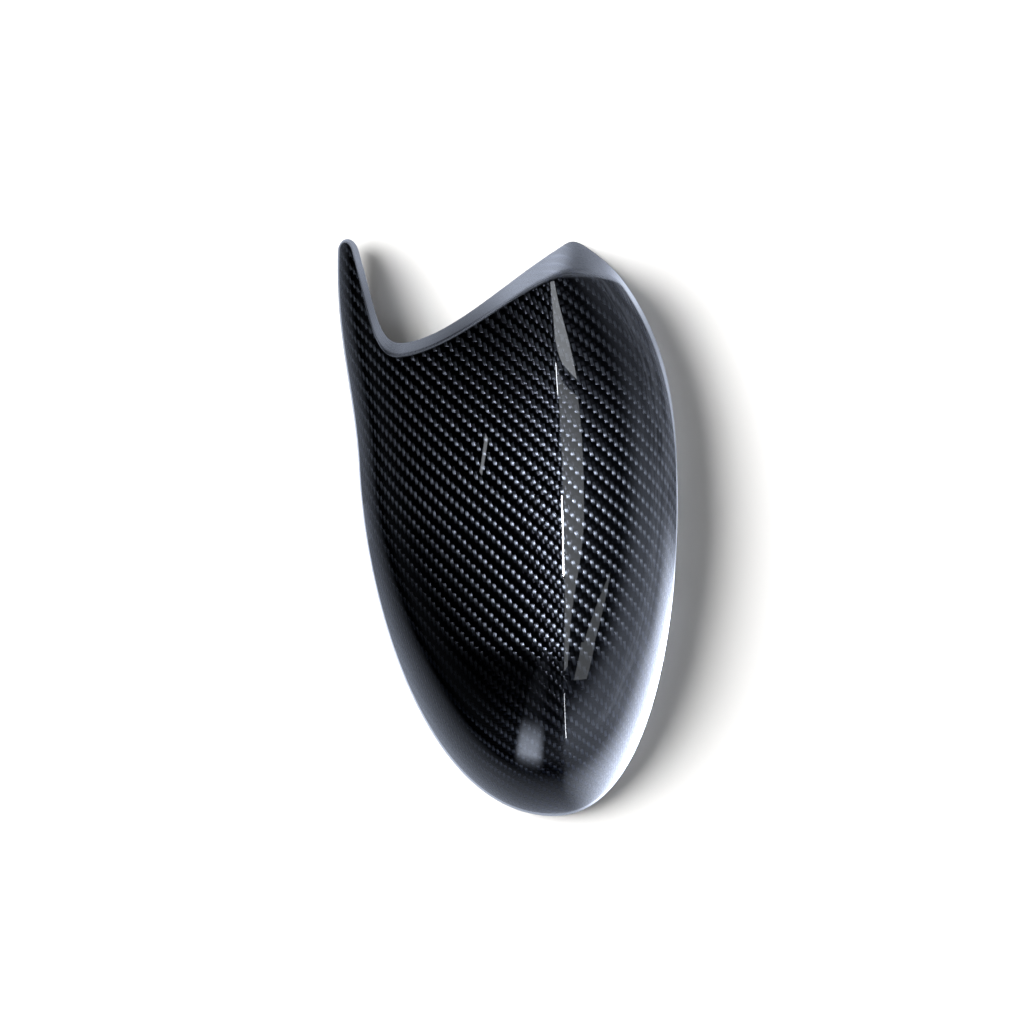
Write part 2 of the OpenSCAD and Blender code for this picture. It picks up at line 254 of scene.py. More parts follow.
# The mirrored horizon: ways that are bright, how wide they are and how bright
RIGHT_WAY, RIGHT_RANGE, RIGHT_GLOW = (0.88, -0.47, 0.0), (0.55, 0.95), 0.8
NOSE_WAY, NOSE_RANGE, NOSE_GLOW = (-0.19, -0.98, 0.0), (0.99, 0.998), 5.0
SIDE_RANGE = (-0.5, 0.8, 0.04, 0.4)
SKY_RANGE = (0.0, 0.38, 1.0, 0.02)


def ease(t):
    """Smooth step from 0 to 1"""
    return t * t * (3 - 2 * t)


def clamp(t):
    return np.clip(t, 0, 1)


def bezier(a, b, c, d, t):
    """Point at t on the curve from a to d, pulled to b and c"""
    return (1 - t) ** 3 * a + 3 * (1 - t) ** 2 * t * b + 3 * (1 - t) * t * t * c + t ** 3 * d


def unit(rows):
    return rows / np.maximum(np.linalg.norm(rows, axis=-1, keepdims=True), 1e-12)


class Moulding:
    """The cover's surfaces in millimetres, by the rules that its solid follows"""

    def __init__(self, shape):
        for name in CoverShape.__annotations__:
            setattr(self, name, getattr(shape, name) / MM)
        low, high = [np.array(corner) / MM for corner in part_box(SHELL)]
        self.half_len = round((high[1] - low[1]) / 2)
        self.half_w = round((high[0] - low[0])) / 2
        self.rim = self.rim_landmarks()
        self.fold = self.fold_landmarks()
        self.round_edge = self.edge_table(0, 3)
        self.horn_edge = self.edge_table(8, 10)

    def rim_landmarks(self):
        """x, y, heading, reach before and after as shares of the gap, height of the rim"""
        w, n, peak = self.half_w, self.half_len, self.peak_x
        return np.array([
            (self.crest_x - 4, -n, 0, 0.31, 0.30, 0),
            (w, 10, 90, 0.32, 0.38, 0),
            (w - 21, n - 20, 124, 0.355, 0.42, 0),
            (peak + 9, n - 5, 143, 0.30, 0.575, 0),
            (peak - 0.5, n, 181, 0.20, 0.245, 0),
            (peak - 8, n - 4, 213, 0.51, 0.385, 1.5),
            (-self.notch_x, n - self.notch_depth, 190, 0.265, 0.27, self.rim_arch_h),
            (self.horn_tip_w - w, n - 5, 106, 0.64, 0.93, self.horn_rim_h + 2),
            (-w, n - 5, 268, 0.68, 0.40, self.horn_rim_h),
            (self.horn_lean - w, 26, 273, 0.35, 0.365, 0),
        ])

    def fold_landmarks(self):
        """Where the walls turn into the face: beside the rim, and well in from it at the lip"""
        lean, lip_y = self.side_lean, self.half_len - self.peak_lip_w

        def beside(index, inward):
            mark = self.rim[index].copy()
            heading = math.radians(mark[2])
            mark[0] -= inward * math.sin(heading)
            mark[1] += inward * math.cos(heading)
            return mark

        return np.array([
            beside(0, lean),
            beside(1, lean),
            beside(2, lean * 2),
            (self.peak_x + 11, lip_y - 0.7, 168, 0.35, 0.33, 0),
            (self.peak_x, lip_y, 182, 0.33, 0.33, 0),
            (self.peak_x - 9.5, lip_y - 1.7, 203, 0.33, 0.30, 0),
            (-self.notch_x - 1, self.half_len - self.notch_depth - self.notch_lip_w, 187, 0.30, 0.25, 0),
            beside(7, lean * 1.5),
            beside(8, lean * 0.6),
            beside(9, lean),
        ])

    def curve(self, marks, u):
        """Points (x, y, z) of the smooth curve through a set of landmarks"""
        u = np.asarray(u, float)
        i = np.floor(u).astype(int)
        t = (u - i)[:, None]
        a, b = marks[i % len(marks)], marks[(i + 1) % len(marks)]
        gap = np.linalg.norm(b[:, :2] - a[:, :2], axis=1, keepdims=True)

        def heading(rows):
            angle = np.radians(rows[:, 2])
            return np.column_stack([np.cos(angle), np.sin(angle)])

        xy = bezier(a[:, :2], a[:, :2] + a[:, 4:5] * gap * heading(a),
                    b[:, :2] - b[:, 3:4] * gap * heading(b), b[:, :2], t)
        z = a[:, 5:6] + (b[:, 5:6] - a[:, 5:6]) * ease(t)
        return np.hstack([xy, z])

    def edge_table(self, start, end):
        """The outline between two landmarks, as y and x in order of y"""
        points = self.curve(self.rim, np.linspace(start, end - 1e-9, EDGE_SAMPLES))
        order = np.argsort(points[:, 1])
        return points[order, 1], points[order, 0]

    def crest_at(self, y):
        return self.crest_x - self.crest_bow * ((y - CREST_TOP_Y) / CREST_RUN) ** 2

    def skirt_at(self, y):
        rise = ease(clamp((y + self.half_len) / (2 * self.half_len * SKIRT_RISE_SHARE)))
        fall = ease(clamp(y / self.half_len))
        return self.nose_skirt_h + (self.skirt_h - self.nose_skirt_h) * rise - self.horn_fall * fall

    def crest_z(self, y):
        s = clamp((y + self.half_len) / self.nose_len)
        low = self.skirt_at(y)
        high = self.crest_h - self.crest_fall * (np.maximum(y, 0) / self.half_len) ** FALL_POW
        return low + (high - low) * (1 - (1 - s) ** NOSE_POW) ** (1 / NOSE_ROOT)

    def face_z(self, x, y):
        """Height of the face: flat beside the crest on the horn side, creased on the other"""
        crest = self.crest_at(y)
        s = x - crest
        out_w = np.maximum(np.interp(y, *self.round_edge) - crest, 1)
        horn_w = np.maximum(crest - np.interp(y, *self.horn_edge), 1)
        crease = (s + np.sqrt(s * s + self.crease_r ** 2)) / 2 / out_w
        rest = (1 - CREASE_SHARE * crease - (1 - CREASE_SHARE) * clamp(s / out_w) ** ROUND_SIDE_POW
                - clamp(-s / horn_w) ** HORN_SIDE_POW)
        low = self.skirt_at(y)
        return low + (self.crest_z(y) - low) * clamp(rest) ** (1 / FACE_ROOT)

    def slopes(self, x, y, step=0.25):
        return ((self.face_z(x + step, y) - self.face_z(x - step, y)) / (2 * step),
                (self.face_z(x, y + step) - self.face_z(x, y - step)) / (2 * step))

    def under_z(self, x, y):
        slope = np.minimum(np.hypot(*self.slopes(x, y, 0.5)), STEEPEST)
        return self.face_z(x, y) - self.wall * np.sqrt(1 + slope ** 2)

    def spine(self):
        """The line on which the columns from the two sides meet: the crest and the horn's branch"""
        low_y, top_y = SPINE_NOSE_GAP - self.half_len, self.half_len - SPINE_PEAK_GAP
        y = np.concatenate([np.linspace(low_y, FORK_Y, CREST_COLUMNS + 1),
                            np.linspace(FORK_Y, top_y, PEAK_COLUMNS + 1)[1:]])
        fork = np.array([self.crest_at(FORK_Y), FORK_Y])
        tip = np.array([self.horn_tip_w / 2 - self.half_w, self.half_len - TIP_GAP])
        t = np.linspace(0, 1, HORN_COLUMNS + 1)[1:, None]
        branch = bezier(fork, fork + FORK_PULL, tip + TIP_PULL, tip, t)
        return np.vstack([np.column_stack([self.crest_at(y), y]), branch])

    def columns(self):
        """Each column's place on the outline and the spine point that it runs to"""
        up, out, along = CREST_COLUMNS, PEAK_COLUMNS, HORN_COLUMNS
        peak, tip = up + out, up + out + along
        notch = round(along * NOTCH_SHARE)
        climb = np.arange(up)
        branch = np.concatenate([[up], peak + 1 + np.arange(along)])

        def spread(start, end, count):
            return start + (end - start) * np.arange(count) / count

        legs = [
            (spread(NOSE_IN, 10 + NOSE_OUT, NOSE_FAN) % 10, np.zeros(NOSE_FAN, int)),
            (spread(NOSE_OUT, 1, up), climb),
            (spread(1, 2, out), up + np.arange(out)),
            (spread(2, 5, PEAK_FAN), np.full(PEAK_FAN, peak)),
            (spread(5, LIP_TURN_U, out), peak - np.arange(out)),
            (np.concatenate([spread(LIP_TURN_U, 6, notch), spread(6, 7, along - notch)]),
             branch[:along]),
            (spread(7, 8, TIP_FAN), np.full(TIP_FAN, tip)),
            (spread(8, 9, along), branch[:0:-1]),
            (spread(9, NOSE_IN, up), up - climb),
        ]
        places, reached = zip(*legs)
        return np.concatenate(places), np.concatenate(reached)

    def surface(self, rows, inside):
        """Rows of points from the rim up to the spine, and where each row is pure face"""
        u, reach_to = self.columns()
        spine = self.spine()
        rim, fold = self.curve(self.rim, u), self.curve(self.fold, u)
        foot, turn_xy, top = rim[:, :2], fold[:, :2], spine[reach_to]
        height = self.under_z if inside else self.face_z
        wall_w = np.linalg.norm(turn_xy - foot, axis=1)
        run = wall_w + np.linalg.norm(top - turn_xy, axis=1)
        in_wall, in_face = unit(turn_xy - foot), unit(top - turn_xy)
        lean = wall_w / (self.face_z(fold[:, 0], fold[:, 1]) - rim[:, 2])
        inset = self.wall * np.sqrt(1 + lean ** 2) if inside else np.zeros_like(lean)

        def place(d):
            return (foot + in_wall * np.minimum(d, wall_w)[:, None]
                    + in_face * np.maximum(d - wall_w, 0)[:, None])

        low, high = inset.copy(), run.copy()
        for _ in range(SOLVE_STEPS):
            middle = (low + high) / 2
            above = rim[:, 2] + (middle - inset) / lean > height(*place(middle).T)
            high = np.where(above, middle, high)
            low = np.where(above, low, middle)
        turn = (low + high) / 2
        lip_share = clamp((wall_w - self.side_lean) / LIP_TURN_RANGE)
        soft = self.side_turn + (self.lip_turn - self.side_turn) * lip_share
        room = np.minimum(turn - inset, run - turn) * TURN_SHARE
        half = np.minimum(np.maximum(soft * lean, LEAST_TURN), room)
        wall_rows, turn_rows, face_rows = rows
        points, pure = [], []
        for k in range(sum(rows)):
            if k <= wall_rows:
                d = inset + (turn - half - inset) * k / wall_rows
            elif k <= wall_rows + turn_rows:
                d = turn + half * (2 * (k - wall_rows) / turn_rows - 1)
            else:
                q = (k - wall_rows - turn_rows) / face_rows
                q = (1 - SPINE_CROWDING) * q ** FOLD_POW + SPINE_CROWDING * (1 - (1 - q) ** SPINE_POW)
                d = turn + half + (run - turn - half) * q
            xy = place(d)
            wall_z, face_z = rim[:, 2] + (d - inset) / lean, height(*xy.T)
            blend = np.maximum(soft * (1 - (np.maximum(d - turn, 0) / (run - turn)) ** 2), 1e-9)
            z = np.minimum(wall_z, face_z) - (clamp(1 - abs(wall_z - face_z) / blend)) ** 2 * blend / 4
            points.append(np.column_stack([xy, np.maximum(z, rim[:, 2])]))
            pure.append((wall_z - face_z >= blend) & (d > turn))
        ridge = np.column_stack([spine, height(*spine.T)])
        return np.array(points), ridge, reach_to, np.array(pure)


class WeaveMap:
    """How far each point lies along the two sets of tows, in millimetres over the surface"""

    def __init__(self, form, skew):
        self.form = form
        self.skew = skew
        self.xs = np.arange(-form.half_w - SIDE_MARGIN, form.half_w + SIDE_MARGIN, CLOTH_STEP)
        self.ys = np.arange(-form.half_len - END_MARGIN, form.half_len + END_MARGIN + 1, 1.0)
        x, y = np.meshgrid(self.xs, self.ys, indexing="ij")
        across = np.sqrt(1 + np.minimum(abs(form.slopes(x, y)[0]), CLOTH_STEEPEST) ** 2)
        total = np.cumsum(across, axis=0) * CLOTH_STEP
        zero = np.array([np.interp(form.crest_at(v), self.xs, total[:, i]) for i, v in enumerate(self.ys)])
        self.across = total - zero
        rise = np.gradient(form.crest_z(self.ys), self.ys)
        self.along = np.cumsum(np.sqrt(1 + np.minimum(abs(rise), CLOTH_STEEPEST) ** 2))
        self.along -= np.interp(0, self.ys, self.along)

    def at(self, points, outward):
        """Weave coordinates of points; outward is the way that each point's wall faces"""
        x, y, z = points[..., 0], points[..., 1], points[..., 2]
        fx = np.clip((x - self.xs[0]) / CLOTH_STEP, 0, len(self.xs) - 1.001)
        fy = np.clip(y - self.ys[0], 0, len(self.ys) - 1.001)
        i, j = fx.astype(int), fy.astype(int)
        a, b = fx - i, fy - j
        table = self.across
        u = ((table[i, j] * (1 - a) + table[i + 1, j] * a) * (1 - b)
             + (table[i, j + 1] * (1 - a) + table[i + 1, j + 1] * a) * b)
        v = np.interp(y, self.ys, self.along)
        drop = np.maximum(self.form.face_z(x, y) - z, 0)
        u, v = u + drop * outward[..., 0], v + drop * outward[..., 1]
        u, v = u * np.where(u < 0, HORN_SIDE_SQUEEZE, 1), v * LENGTH_SQUEEZE
        return np.stack([u + self.skew * v, v], axis=-1)


class Graph:
    """Short calls that add and join the nodes of one material or world"""

    def __init__(self, block):
        block.use_nodes = True
        self.tree = block.node_tree
        self.tree.nodes.clear()

    def node(self, kind, *inputs, **settings):
        """Adds a node; inputs go to its sockets in order, and None leaves one as it is"""
        made = self.tree.nodes.new("ShaderNode" + kind)
        for name, value in settings.items():
            setattr(made, name, value)
        for socket, value in zip(made.inputs, inputs):
            self.put(socket, value)
        return made

    def put(self, socket, value):
        if value is None:
            return
        if isinstance(value, bpy.types.NodeSocket):
            self.tree.links.new(value, socket)
        elif isinstance(value, (tuple, list)) and socket.type == "RGBA" and len(value) == 3:
            socket.default_value = (*value, 1.0)
        else:
            socket.default_value = value

    def maths(self, operation, *inputs):
        return self.node("Math", *inputs, operation=operation).outputs[0]

    def vector_maths(self, operation, *inputs):
        return self.node("VectorMath", *inputs, operation=operation).outputs[0]

    def measure(self, operation, *inputs):
        """Number from vectors, such as their DOT_PRODUCT or LENGTH"""
        return self.node("VectorMath", *inputs, operation=operation).outputs["Value"]

    def scaled(self, colour, share):
        made = self.node("VectorMath", colour, operation="SCALE")
        self.put(made.inputs["Scale"], share)
        return made.outputs[0]

    def pick(self, share, low, high):
        """Number between low and high by a share"""
        return self.node("Mix", share, None, low, high, data_type="FLOAT").outputs[0]

    def tint(self, share, low, high):
        """Colour between low and high by a share"""
        made = self.node("Mix", share, data_type="RGBA")
        colours = [socket for socket in made.inputs if socket.type == "RGBA"]
        self.put(colours[0], low)
        self.put(colours[1], high)
        return made.outputs[2]

    def smooth(self, value, start, end, low=0.0, high=1.0):
        """Number that goes softly from low to high while the value goes from start to end"""
        made = self.node("MapRange", value, start, end, low, high, interpolation_type="SMOOTHSTEP")
        return made.outputs[0]

    def vector(self, x, y, z=0.0):
        return self.node("CombineXYZ", x, y, z).outputs[0]

    def noise(self, place, scale, detail=2.0, roughness=0.5):
        made = self.node("TexNoise")
        self.put(made.inputs["Vector"], place)
        made.inputs["Scale"].default_value = scale
        made.inputs["Detail"].default_value = detail
        made.inputs["Roughness"].default_value = roughness
        return made.outputs[0]

    def bump(self, height, strength, depth):
        made = self.node("Bump")
        self.put(made.inputs["Strength"], strength)
        self.put(made.inputs["Distance"], depth)
        self.put(made.inputs["Height"], height)
        return made.outputs[0]

    def finish(self, shader, **sockets):
        """Sets the shader's sockets, their names with _ for a space, and joins it to the output"""
        for name, value in sockets.items():
            self.put(shader.inputs[name.replace("_", " ")], value)
        output = self.node("OutputMaterial")
        self.tree.links.new(shader.outputs[0], output.inputs[0])


def twill(graph, finish):
    """The weave at each point: its tow's tilt, how near its edge it is, and its sheen, with the weft tows
    darkened as painted shade
    """
    place = graph.node("UVMap", uv_map="weave").outputs[0]
    split = graph.node("SeparateXYZ", place)
    u = graph.maths("DIVIDE", split.outputs[0], finish.tow_w)
    v = graph.maths("DIVIDE", split.outputs[1], finish.tow_w)
    warp_number, weft_number = graph.maths("FLOOR", u), graph.maths("FLOOR", v)
    warp_phase = graph.maths("FLOORED_MODULO", graph.maths("ADD", v, warp_number), REPEAT)
    weft_phase = graph.maths("FLOORED_MODULO", graph.maths("ADD", u, weft_number), REPEAT)
    warp_up = graph.maths("LESS_THAN", warp_phase, FLOAT)
    warp_across = graph.maths("SUBTRACT", graph.maths("FRACT", u), 0.5)
    weft_across = graph.maths("SUBTRACT", graph.maths("FRACT", v), 0.5)
    warp_along = graph.maths("SUBTRACT", warp_phase, FLOAT / 2)
    weft_along = graph.maths("SUBTRACT", weft_phase, REPEAT - FLOAT / 2)
    across = graph.pick(warp_up, weft_across, warp_across)
    along = graph.pick(warp_up, weft_along, warp_along)

    long_u, fine_u = [graph.maths("MULTIPLY", u, scale) for scale in STREAKS]
    long_v, fine_v = [graph.maths("MULTIPLY", v, scale) for scale in STREAKS]
    fibre_u = graph.pick(warp_up, long_u, fine_u)
    fibre_v = graph.pick(warp_up, fine_v, long_v)
    streaks = graph.noise(graph.vector(fibre_u, fibre_v, warp_up), 1.0, 3.0)
    streak = graph.maths("SUBTRACT", streaks, 0.5)
    tow_number = graph.pick(warp_up, weft_number, warp_number)
    lot = graph.node("TexWhiteNoise", graph.vector(tow_number, warp_up), noise_dimensions="2D")

    crowned = graph.maths("MULTIPLY", across, finish.crown)
    slope_across = graph.maths("MULTIPLY_ADD", streak, finish.streak, crowned)
    slope_along = graph.maths("MULTIPLY", along, finish.crimp)
    tilt_u = graph.pick(warp_up, slope_along, slope_across)
    tilt_v = graph.pick(warp_up, slope_across, slope_along)
    edge = graph.smooth(graph.maths("ABSOLUTE", across), *TOW_SIDE)
    end = graph.smooth(graph.maths("ABSOLUTE", along), *TOW_END)
    gap = graph.maths("MAXIMUM", edge, graph.maths("MULTIPLY", end, END_DEPTH))
    tow_shade = graph.maths("MULTIPLY_ADD", lot.outputs[0], *LOT_SHADE)
    tone_and_painted_shade = graph.maths("MULTIPLY_ADD", streak, STREAK_SHADE, tow_shade)
    # Painted shade: the weft tows are darkened to a share of the warp's sheen, as if less light fell on them
    tone_and_painted_shade = graph.maths("MULTIPLY", tone_and_painted_shade, graph.pick(warp_up, finish.weft_painted_shade, 1.0))
    return tilt_u, tilt_v, gap, tone_and_painted_shade, warp_up


def leaning_normal(graph, tilt_u, tilt_v):
    """A tangent-space normal that leans by two slopes"""
    leaning = graph.vector_maths("NORMALIZE", graph.vector(tilt_u, tilt_v, 1.0))
    halves = (0.5, 0.5, 0.5)
    as_colour = graph.vector_maths("MULTIPLY_ADD", leaning, halves, halves)
    return graph.node("NormalMap", 1.0, as_colour, space="TANGENT", uv_map="weave").outputs[0]


def lacquered_carbon(finish):
    """2x2 twill seen through deep clear lacquer"""
    material = bpy.data.materials.new("lacquered_carbon")
    graph = Graph(material)
    tilt_u, tilt_v, gap, tone_and_painted_shade, warp_up = twill(graph, finish)
    # The fibre colour carries the painted shade that darkens the weft tows
    fibre = graph.scaled(tuple(finish.fibre), tone_and_painted_shade)
    tangent = graph.node("Tangent", direction_type="UV_MAP", uv_map="weave").outputs[0]
    graph.finish(graph.node("BsdfPrincipled"),
                 Base_Color=graph.tint(gap, fibre, tuple(finish.resin)),
                 Metallic=1.0,
                 Specular_Tint=FIBRE_RIM,
                 Roughness=finish.fibre_roughness,
                 Normal=leaning_normal(graph, tilt_u, tilt_v),
                 Anisotropic=finish.fibre_grain,
                 Anisotropic_Rotation=graph.pick(warp_up, QUARTER_TURN, 0.0),
                 Tangent=tangent,
                 Coat_Weight=1.0,
                 Coat_Roughness=finish.coat_roughness,
                 Coat_IOR=LACQUER_IOR)
    return material


def bare_carbon(finish):
    """The inside of the moulding: the same twill under a thin satin skin of resin"""
    material = bpy.data.materials.new("bare_carbon")
    graph = Graph(material)
    tilt_u, tilt_v, gap, tone_and_painted_shade, _ = twill(graph, finish)
    place = graph.node("TexCoord").outputs["Object"]
    pools = graph.smooth(graph.noise(place, 38.0, 3.0, 0.6), 0.42, 0.66)
    # The inside's fibres carry the same painted shade on the weft tows
    weave = graph.tint(gap, graph.scaled(tuple(finish.bare_fibre), tone_and_painted_shade), tuple(finish.bare_resin))
    soft_u = graph.maths("MULTIPLY", tilt_u, BARE_RELIEF)
    soft_v = graph.maths("MULTIPLY", tilt_v, BARE_RELIEF)
    graph.finish(graph.node("BsdfPrincipled"),
                 Base_Color=graph.tint(pools, weave, tuple(finish.skin)),
                 Metallic=0.45,
                 Roughness=graph.smooth(pools, 0.0, 1.0, 0.52, 0.36),
                 Normal=leaning_normal(graph, soft_u, soft_v))
    return material


def cut_edge(finish):
    """The trimmed edge: sanded plies of laminate, lighter than the faces"""
    material = bpy.data.materials.new("cut_laminate_edge")
    graph = Graph(material)
    grain = graph.noise(graph.node("TexCoord").outputs["Object"], 900.0, 3.0, 0.6)
    graph.finish(graph.node("BsdfPrincipled"),
                 Base_Color=graph.tint(grain, tuple(finish.cut_dark), tuple(finish.cut_light)),
                 Roughness=0.55,
                 Normal=graph.bump(grain, strength=0.3, depth=0.00015))
    return material


def moulded_plastic(finish):
    """Black moulded plastic with a fine spark-eroded grain"""
    material = bpy.data.materials.new("clip_moulded_plastic")
    graph = Graph(material)
    place = graph.node("TexCoord").outputs["Object"]
    grain = graph.noise(place, 2600.0, 2.0, 0.6)
    cloud = graph.noise(place, 90.0, 2.0, 0.5)
    light = tuple(value * 1.6 for value in finish.plastic)
    graph.finish(graph.node("BsdfPrincipled"),
                 Base_Color=graph.tint(cloud, tuple(finish.plastic), light),
                 Roughness=graph.smooth(cloud, 0.3, 0.7, 0.42, 0.56),
                 Normal=graph.bump(grain, strength=0.35, depth=0.0001))
    return material


def bonding_paste(finish):
    """Cured adhesive: dull grey-black, smeared by hand"""
    material = bpy.data.materials.new("bonding_paste")
    graph = Graph(material)
    smear = graph.noise(graph.node("TexCoord").outputs["Object"], 420.0, 4.0, 0.6)
    light = tuple(value * 1.8 for value in finish.adhesive)
    graph.finish(graph.node("BsdfPrincipled"),
                 Base_Color=graph.tint(smear, tuple(finish.adhesive), light),
                 Roughness=0.5,
                 Normal=graph.bump(smear, strength=0.6, depth=0.0004))
    return material


def mesh_object(name, points, faces, materials, face_materials=None, normals=None, smooth=True):
    """A mesh object from points in millimetres"""
    mesh = bpy.data.meshes.new(name)
    mesh.from_pydata((np.asarray(points) * MM).tolist(), [], faces)
    for material in materials:
        mesh.materials.append(material)
    if face_materials is not None:
        mesh.polygons.foreach_set("material_index", face_materials)
    mesh.polygons.foreach_set("use_smooth", [smooth] * len(mesh.polygons))
    mesh.update()
    if normals is not None:
        mesh.normals_split_custom_set_from_vertices(normals.tolist())
    made = bpy.data.objects.new(name, mesh)
    bpy.context.scene.collection.objects.link(made)
    return made


class MIRROR_OT_moulding(bpy.types.Operator):
    """Builds the moulded shell with its twill, lacquer and trimmed edge"""
    bl_idname = "mirror.moulding"
    bl_label = "Build Moulding"

    def execute(self, context):
        scene = context.scene
        form = Moulding(scene.mirror_shape)
        outer, crest, reach_to, pure = form.surface((WALL_ROWS, TURN_ROWS, FACE_ROWS), False)
        inner, under, _, _ = form.surface(INNER_ROWS, True)
        edge = self.trimmed_edge(form, outer[0], inner[0])
        outer[0, :, 2] += form.edge_r
        inner[0, :, 2] += form.edge_r
        grid = np.concatenate([outer[::-1], edge, inner])
        rows, cols = grid.shape[:2]
        points = np.concatenate([grid.reshape(-1, 3), crest, under])

        def vertex(row, col):
            if row < 0:
                return rows * cols + reach_to[col % cols]
            if row >= rows:
                return rows * cols + len(crest) + reach_to[col % cols]
            return row * cols + col % cols

        faces, kinds = [], []
        for row in range(-1, rows):
            kind = LACQUERED
            if row >= len(outer) + len(edge):
                kind = BARE
            elif row >= len(outer) - 1:
                kind = TRIMMED
            for col in range(cols):
                corners = [vertex(row, col), vertex(row + 1, col),
                           vertex(row + 1, col + 1), vertex(row, col + 1)]
                faces.append(list(dict.fromkeys(int(corner) for corner in corners)))
                kinds.append(kind)
        normals = self.vertex_normals(form, grid, pure, crest, under)
        carbon = scene.mirror_carbon
        materials = [lacquered_carbon(carbon), cut_edge(carbon), bare_carbon(carbon)]
        shell = mesh_object("moulded_shell", points, faces, materials, kinds, normals)
        self.map_weave(form, carbon.skew, shell, grid, crest, under)
        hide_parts(SHELL)
        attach(shell, BODY)
        return {"FINISHED"}

    def trimmed_edge(self, form, outside, inside):
        """Rows across the trimmed edge, rounded at both sides"""
        rows = []
        for share, lift in EDGE_PROFILE:
            row = outside + (inside - outside) * share
            row[:, 2] += form.edge_r * lift
            rows.append(row)
        return np.array(rows)

    def vertex_normals(self, form, grid, pure, crest, under):
        """Normals of the grid, exact wherever a point lies on the face itself"""
        along = np.gradient(grid, axis=0)
        round_about = np.roll(grid, -1, axis=1) - np.roll(grid, 1, axis=1)
        normals = unit(np.cross(along, round_about))

        def of_face(points, sign):
            slope_x, slope_y = form.slopes(points[..., 0], points[..., 1])
            return unit(np.stack([-slope_x, -slope_y, np.ones_like(slope_x)], axis=-1)) * sign

        flip = np.sign((normals[0] * of_face(grid[0], 1)).sum(axis=-1).mean())
        normals *= flip
        exact = of_face(grid[:len(pure)], 1)
        mask = pure[::-1][..., None]
        normals[:len(pure)] = np.where(mask, exact, normals[:len(pure)])
        return np.concatenate([normals.reshape(-1, 3), of_face(crest, 1), of_face(under, -1)])

    def map_weave(self, form, skew, shell, grid, crest, under):
        """Lays the twill over the shell, square to the crest, and down its walls"""
        weave = WeaveMap(form, skew)
        rim = grid[WALL_ROWS + TURN_ROWS + FACE_ROWS, :, :2]
        tangent = np.roll(rim, -1, axis=0) - np.roll(rim, 1, axis=0)
        outward = unit(np.column_stack([tangent[:, 1], -tangent[:, 0]]))
        places = form.columns()[0]
        held = outward.copy()
        for start, end, kept in HELD_DROPS:
            column = np.argmin(abs(places - kept))
            held[(places >= start) & (places < end)] = outward[column]
        held[:, 0] += skew * held[:, 1]
        coords = weave.at(grid, np.broadcast_to(outward, (len(grid), *outward.shape)))
        walls = slice(FACE_ROWS, FACE_ROWS + TURN_ROWS + WALL_ROWS + LAPPED_ROWS)
        down = np.cumsum(np.linalg.norm(np.diff(grid[walls], axis=0), axis=-1), axis=0)
        coords[walls][1:] = coords[FACE_ROWS] + down[..., None] * held
        spine = np.concatenate([crest, under])
        coords = np.concatenate([coords.reshape(-1, 2), weave.at(spine, np.zeros_like(spine))])
        layer = shell.data.uv_layers.new(name="weave")
        corner_vertices = np.zeros(len(shell.data.loops), int)
        shell.data.loops.foreach_get("vertex_index", corner_vertices)
        layer.data.foreach_set("uv", (coords[corner_vertices] * MM).ravel())


class MIRROR_OT_clips(bpy.types.Operator):
    """Gives the clip brackets their moulded plastic"""
    bl_idname = "mirror.clips"
    bl_label = "Finish Clips"

    def execute(self, context):
        plastic = moulded_plastic(context.scene.mirror_brackets)
        for name in CLIPS:
            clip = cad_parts[name]
            clip.data.materials.clear()
            clip.data.materials.append(plastic)
        return {"FINISHED"}


class MIRROR_OT_adhesive(bpy.types.Operator):
    """Squeezes a bead of adhesive out round each clip's pad"""
    bl_idname = "mirror.adhesive"
    bl_label = "Build Adhesive"

    def execute(self, context):
        brackets = context.scene.mirror_brackets
        form = Moulding(context.scene.mirror_shape)
        paste = bonding_paste(brackets)
        for number, (name, turn) in enumerate(CLIPS.items()):
            low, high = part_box(name)
            middle = (low + high) / 2 / MM
            bead = self.bead(form, brackets, middle, math.radians(turn), number)
            points, faces = self.tube(*bead)
            made = mesh_object(name.replace("clip", "adhesive"), points, faces, [paste])
            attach(made, BODY)
        return {"FINISHED"}

    def bead(self, form, brackets, middle, turn, number, steps=96):
        """The bead's path round the pad and its radius at each step, in millimetres"""
        angle = np.arange(steps) / steps * 2 * math.pi
        deep, wide = brackets.pad_d / MM / 2, brackets.pad_w / MM / 2
        along = np.sign(np.cos(angle)) * abs(np.cos(angle)) ** BEAD_CORNER_POW * deep
        across = np.sign(np.sin(angle)) * abs(np.sin(angle)) ** BEAD_CORNER_POW * wide
        wander = sum(np.sin(angle * waves + number * shift) * share for waves, share, shift in WANDER)
        x = middle[0] + along * math.cos(turn) - across * math.sin(turn)
        y = middle[1] + along * math.sin(turn) + across * math.cos(turn)
        radius = brackets.bead_r / MM * (1 + wander * BEAD_UNEVENNESS)
        z = form.under_z(x, y) - brackets.bond_t / MM / 2 - radius * BEAD_SINK
        return np.column_stack([x, y, z]), radius

    def tube(self, path, radius, sides=12):
        """Points and faces of a flattened tube round a closed path"""
        ahead = unit(np.roll(path, -1, axis=0) - np.roll(path, 1, axis=0))
        side = unit(np.cross(ahead, [0, 0, 1]))
        lift = np.cross(side, ahead)
        turn = np.arange(sides) / sides * 2 * math.pi
        ring = (side[:, None] * np.cos(turn)[:, None]
                + lift[:, None] * np.sin(turn)[:, None] * BEAD_FLATNESS)
        points = path[:, None] + ring * radius[:, None, None]
        count = len(path)
        faces = []
        for i in range(count):
            for j in range(sides):
                a, b = i * sides + j, i * sides + (j + 1) % sides
                after = (i + 1) % count * sides - i * sides
                faces.append((a, a + after, b + after, b))
        return points.reshape(-1, 3), faces


